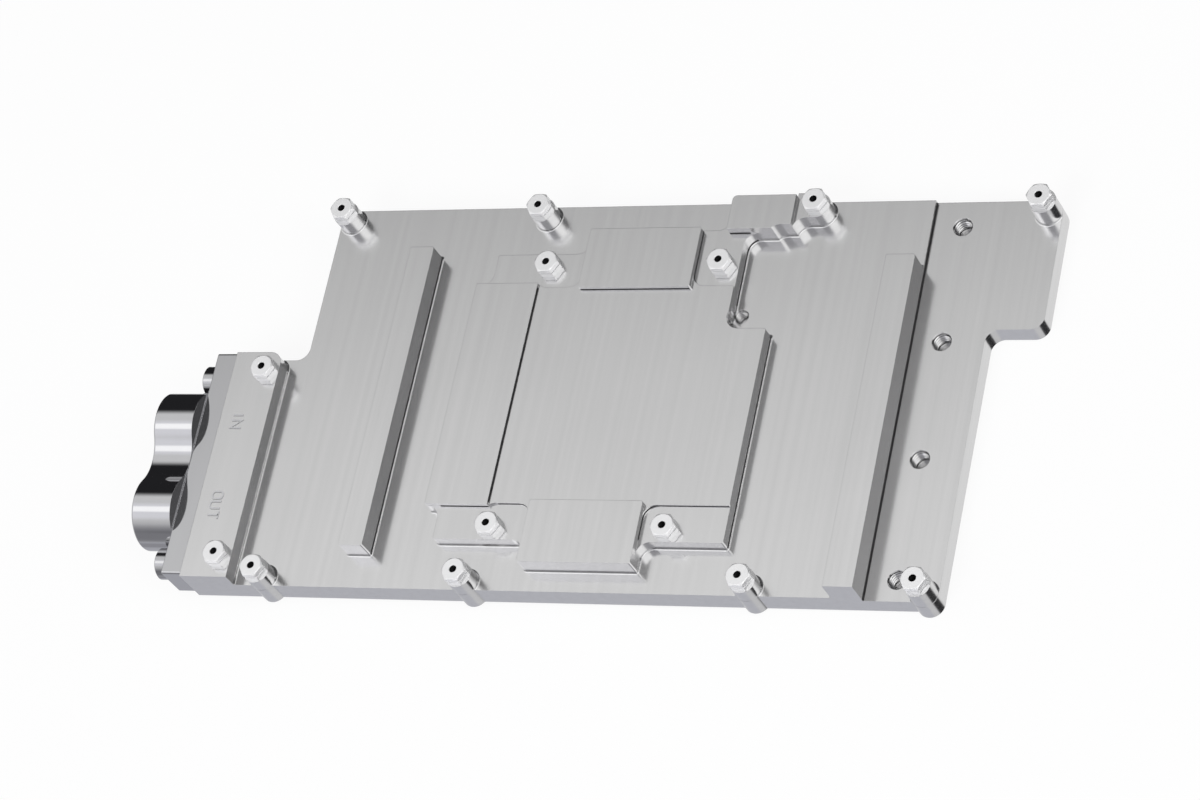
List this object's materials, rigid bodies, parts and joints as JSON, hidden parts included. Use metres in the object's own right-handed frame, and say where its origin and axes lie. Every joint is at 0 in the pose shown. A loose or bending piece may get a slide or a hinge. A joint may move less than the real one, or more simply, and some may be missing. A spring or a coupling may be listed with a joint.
{
  "type": "gpu water block",
  "caption": "Full-cover liquid cooling block for a graphics card: a machined nickel-plated plate with raised chip pads, hexagonal standoffs and a polished twin-port terminal.",
  "frame": {"origin": "centre of the die pad's contact face, midway between the four inner standoffs", "axes": "+Z out of the contact face towards the graphics card, +X along the block away from the ports, +Y towards the edge with the tab"},
  "size_m": [0.2013, 0.0947, 0.0169],
  "materials": {
    "nickel_plate": "satin nickel plating over copper, lightly brushed along Y",
    "nickel_cover": "satin nickel plating, fine even grain",
    "polished_nickel": "polished nickel plating with sharp reflections",
    "bright_standoff": "bright nickel plated, turned hexagon",
    "bright_screw": "plain stainless steel",
    "black_screw": "stainless steel cap screw, slightly darker than the plate",
    "seal_rubber": "black moulded rubber",
    "insert_plastic": "black moulded plastic insert"
  },
  "bodies": {
    "root": {"cold_plate": "nickel_plate", "port_terminal": "polished_nickel", "terminal_screw_upper": "black_screw", "terminal_screw_lower": "black_screw", "port_seal_in": "seal_rubber", "port_seal_out": "seal_rubber", "back_cover": "nickel_cover", "cover_seal": "seal_rubber", "jet_plate": "insert_plastic", "cover_screws": "bright_screw", "standoff_outer_1": "bright_standoff", "standoff_outer_2": "bright_standoff", "standoff_outer_3": "bright_standoff", "standoff_outer_4": "bright_standoff", "standoff_outer_5": "bright_standoff", "standoff_outer_6": "bright_standoff", "standoff_outer_7": "bright_standoff", "standoff_outer_8": "bright_standoff", "standoff_core_1": "bright_standoff", "standoff_core_2": "bright_standoff", "standoff_core_3": "bright_standoff", "standoff_core_4": "bright_standoff", "standoff_strip_1": "bright_standoff", "standoff_strip_2": "bright_standoff"}
  },
  "joints": []
}
